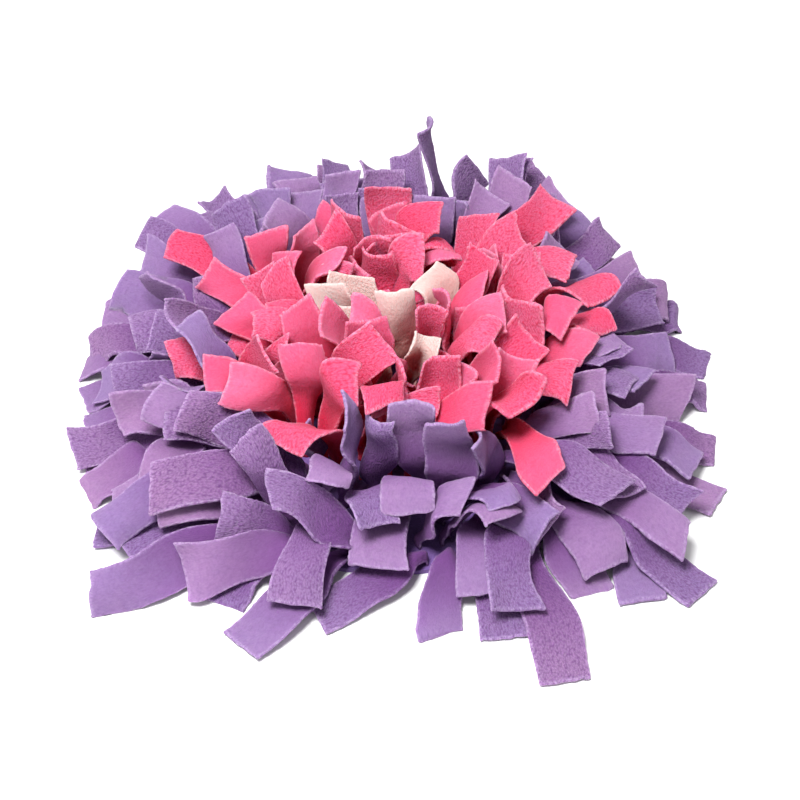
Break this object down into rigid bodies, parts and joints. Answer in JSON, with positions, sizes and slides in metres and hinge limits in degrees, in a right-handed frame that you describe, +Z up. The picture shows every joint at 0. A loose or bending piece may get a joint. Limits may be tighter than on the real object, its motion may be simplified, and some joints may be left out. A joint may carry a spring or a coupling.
{
  "type": "snuffle mat",
  "caption": "Round snuffle mat of soft fleece strips knotted in rings through a flat felt base, purple outside, pink inside and cream in the middle.",
  "frame": {"origin": "middle of the base's underside, on the floor", "axes": "+Z up from the floor through the pile of strips; -Y towards the side with the longest strips on the floor; +X to the right of that view"},
  "size_m": [0.4176, 0.452, 0.0974],
  "materials": {
    "felt_base": "matt felt",
    "fleece_purple": "soft napped fleece",
    "fleece_pink": "soft napped fleece",
    "fleece_cream": "soft napped fleece"
  },
  "bodies": {
    "root": {"base_mat": "felt_base", "ring_cream_1": "fleece_cream", "ring_pink_1": "fleece_pink", "ring_pink_2": "fleece_pink", "ring_pink_3": "fleece_pink", "ring_pink_4": "fleece_pink", "ring_pink_5": "fleece_pink", "ring_purple_1": "fleece_purple", "ring_purple_2": "fleece_purple", "ring_purple_3": "fleece_purple", "ring_purple_4": "fleece_purple", "ring_purple_5": "fleece_purple"}
  },
  "joints": []
}
